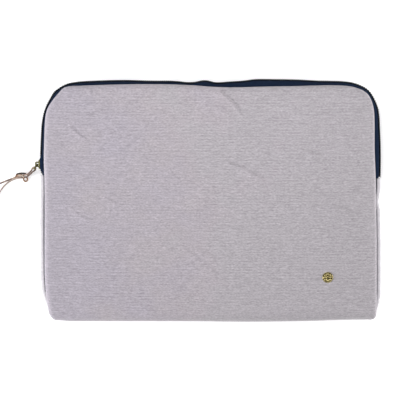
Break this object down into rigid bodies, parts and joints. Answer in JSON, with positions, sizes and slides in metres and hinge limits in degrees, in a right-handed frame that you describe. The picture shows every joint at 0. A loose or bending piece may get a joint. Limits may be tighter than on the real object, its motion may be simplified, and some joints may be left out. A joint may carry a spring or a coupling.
{
  "type": "laptop sleeve",
  "caption": "Padded canvas laptop sleeve with a coil zipper round its top edge, a front that folds open, a brass slider and a knotted leather lace pull",
  "frame": {"origin": "middle of the sleeve's back face, on the surface that it lies on", "axes": "+X along the sleeve's width to its right side seen from the front, +Y to the zipped top edge, +Z out of the front panel"},
  "size_m": [0.3968, 0.242, 0.0257],
  "materials": {
    "canvas": "washed cotton canvas, pale lilac grey, matt",
    "padding": "closed-cell foam, dark grey",
    "lining": "smooth woven lining, dark navy",
    "zip_tape": "woven zipper tape, navy",
    "zip_coil": "polyester coil, near black navy",
    "brass": "antique brass, slightly tarnished",
    "lace": "tan leather lace, dry, rubbed at the edges"
  },
  "bodies": {
    "sleeve": {"canvas_back": "canvas", "canvas_bottom": "canvas", "canvas_front_lower": "canvas", "gusset_left": "canvas", "gusset_right": "canvas", "padding_back": "padding", "padding_bottom": "padding", "padding_front_lower": "padding", "lining_back": "lining", "lining_bottom": "lining", "lining_front_lower": "lining", "gusset_lining_left": "lining", "gusset_lining_right": "lining", "zip_tape_back": "zip_tape", "zip_tape_end_left": "zip_tape", "zip_tape_end_right": "zip_tape", "zip_coil_back": "zip_coil", "zip_coil_end_left": "zip_coil", "zip_coil_end_right": "zip_coil", "stud_cap": "brass", "stud_washer": "brass"},
    "flap": {"canvas_front_flap": "canvas", "padding_front_flap": "padding", "lining_front_flap": "lining", "zip_tape_flap": "zip_tape", "zip_coil_flap": "zip_coil"},
    "slider": {"slider": "brass"},
    "pull": {"pull_ring": "brass", "lace_loop": "lace", "lace_upper": "lace", "lace_lower": "lace", "lace_knot": "lace"}
  },
  "joints": [
    {"name": "mouth", "type": "hinge", "parent": "sleeve", "child": "flap", "pos_m": [0, 0.044, 0.024], "axis": [1, 0, 0], "range_deg": [0, 65]},
    {"name": "zip", "type": "slide", "parent": "sleeve", "child": "slider", "axis": [0, 1, 0], "range_m": [0, 0.034]},
    {"name": "pull_swing", "type": "hinge", "parent": "slider", "child": "pull", "pos_m": [-0.1726, 0.036, 0.012], "axis": [0, 0, 1], "range_deg": [-95, 24]}
  ]
}
